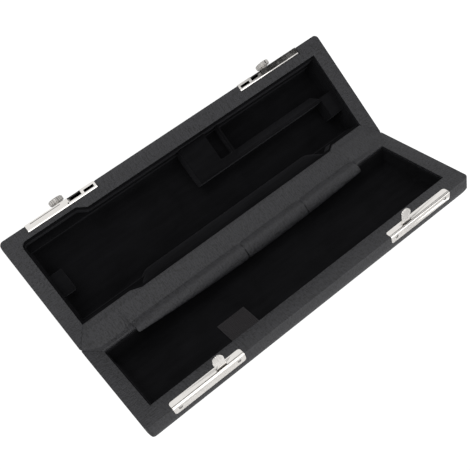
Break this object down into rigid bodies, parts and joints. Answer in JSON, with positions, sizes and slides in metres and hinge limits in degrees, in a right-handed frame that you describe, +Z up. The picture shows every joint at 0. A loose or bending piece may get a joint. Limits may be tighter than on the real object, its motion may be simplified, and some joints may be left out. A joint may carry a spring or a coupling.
{
  "type": "piccolo case",
  "caption": "Small hard case for a piccolo, open: leatherette outside, velvet tray fitted to the joints, plain velvet lid, long hinge and spring latches with round finger knobs.",
  "frame": {"origin": "middle of the base's flat underside: half way along the length, and half way between the hinge axis and the front", "axes": "+X along the case towards its right end as seen from the latches, +Y from the latches to the hinge, +Z up"},
  "size_m": [0.24, 0.139, 0.0852],
  "materials": {
    "leatherette": "fine grained, low sheen",
    "velvet": "short velvet pile",
    "velvet_block": "soft wood covered in short velvet pile",
    "board": "plain board",
    "nickel_steel": "polished nickel plate",
    "hidden_steel": "plain steel",
    "hook_tape": "woven hook tape"
  },
  "bodies": {
    "base": {"base_shell": "board", "base_cover": "leatherette", "tray_lining": "velvet", "hinge_side_cushion": "velvet", "head_joint_block": "velvet_block", "divider_ridge": "velvet_block", "left_end_rest": "velvet_block", "right_end_rest": "velvet_block", "latch_nails": "hidden_steel", "base_hinge_leaf": "nickel_steel", "base_hinge_nails": "hidden_steel", "base_hinge_strip": "leatherette", "hinge_pin": "hidden_steel", "left_latch_case": "nickel_steel", "right_latch_case": "nickel_steel", "left_latch_back_plate": "nickel_steel", "right_latch_back_plate": "nickel_steel", "left_latch_spring": "hidden_steel", "right_latch_spring": "hidden_steel"},
    "lid": {"lid_shell": "board", "lid_cover": "leatherette", "lid_lining": "velvet", "left_hinge_pad": "leatherette", "middle_hinge_pad": "leatherette", "right_hinge_pad": "leatherette", "hook_tape_patch": "hook_tape", "catch_nails": "nickel_steel", "lid_hinge_leaf": "nickel_steel", "lid_hinge_nails": "hidden_steel", "lid_hinge_strip": "leatherette", "left_catch_plate": "nickel_steel", "right_catch_plate": "nickel_steel"},
    "left_bolt": {"left_latch_bolt": "hidden_steel", "left_latch_knob": "nickel_steel"},
    "right_bolt": {"right_latch_bolt": "hidden_steel", "right_latch_knob": "nickel_steel"}
  },
  "joints": [
    {"name": "lid_hinge", "type": "hinge", "parent": "base", "child": "lid", "pos_m": [0, 0.0376, 0.024], "axis": [1, 0, 0], "range_deg": [0, 133]},
    {"name": "left_latch_slide", "type": "slide", "parent": "base", "child": "left_bolt", "axis": [-1, 0, 0], "range_m": [0, 0.0035], "stiffness_N_per_m": 300, "springref_m": -0.004, "deforming": ["left_latch_spring"]},
    {"name": "right_latch_slide", "type": "slide", "parent": "base", "child": "right_bolt", "axis": [1, 0, 0], "range_m": [0, 0.0035], "stiffness_N_per_m": 300, "springref_m": -0.004, "deforming": ["right_latch_spring"]}
  ]
}
